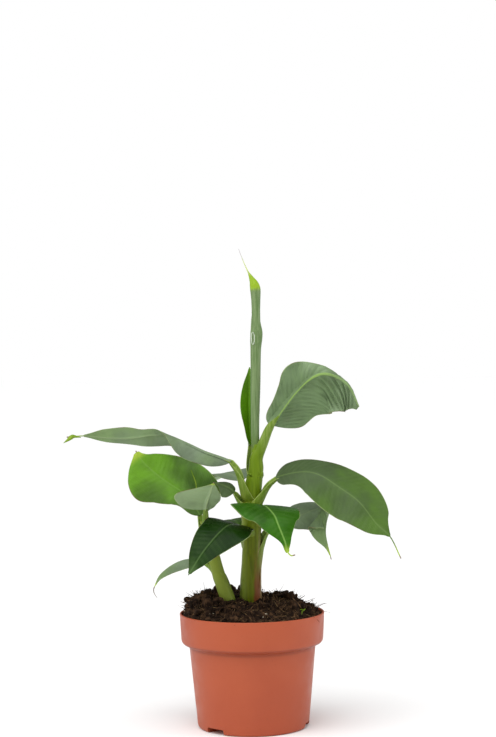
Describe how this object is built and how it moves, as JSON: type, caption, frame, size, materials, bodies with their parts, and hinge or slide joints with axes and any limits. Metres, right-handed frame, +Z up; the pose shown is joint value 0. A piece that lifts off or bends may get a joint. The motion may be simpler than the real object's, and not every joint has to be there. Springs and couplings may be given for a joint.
{
  "type": "potted banana plant",
  "caption": "Young banana plant with a basal sucker in a round terracotta-coloured nursery pot: slim stems, broad arching leaves and a rolled new leaf on top.",
  "frame": {"origin": "middle of the pot's flat underside, on the ground", "axes": "+Z up along the pot's axis; +Y away from the front, +X to the right seen from the front"},
  "size_m": [0.2757, 0.137, 0.3956],
  "materials": {
    "pot": "satin terracotta-coloured plastic",
    "soil": "rough dark fibrous peat",
    "stem": "smooth satin living stem, yellow-green with a reddish-brown streak",
    "petiole": "smooth satin leaf stalk",
    "leaf_bright": "bright green leaf, slightly glossy",
    "leaf_mid": "mid green leaf, satin",
    "leaf_dark": "dark green leaf, satin",
    "leaf_pale": "grey-green waxy leaf underside"
  },
  "bodies": {
    "root": {"pot": "pot", "soil": "soil", "stem_main": "stem", "stem_sucker": "stem", "leaf_rolled_spike": "leaf_pale", "petiole_upright_young": "petiole", "leaf_upright_young": "leaf_bright", "petiole_upper_right": "petiole", "leaf_upper_right": "leaf_pale", "petiole_long_left": "petiole", "leaf_long_left": "leaf_pale", "petiole_big_left": "petiole", "leaf_big_left": "leaf_bright", "petiole_sucker_pale": "petiole", "leaf_sucker_pale": "leaf_pale", "petiole_front_left": "petiole", "leaf_front_left": "leaf_dark", "petiole_front_right": "petiole", "leaf_front_right": "leaf_bright", "petiole_behind_right": "petiole", "leaf_behind_right": "leaf_mid", "petiole_right": "petiole", "leaf_right": "leaf_mid", "petiole_low_left": "petiole", "leaf_low_left": "leaf_mid", "petiole_low_back": "petiole", "leaf_low_back": "leaf_mid", "petiole_small_left": "petiole", "leaf_small_left": "leaf_pale", "petiole_back_left": "petiole", "leaf_back_left": "leaf_mid"}
  },
  "joints": []
}
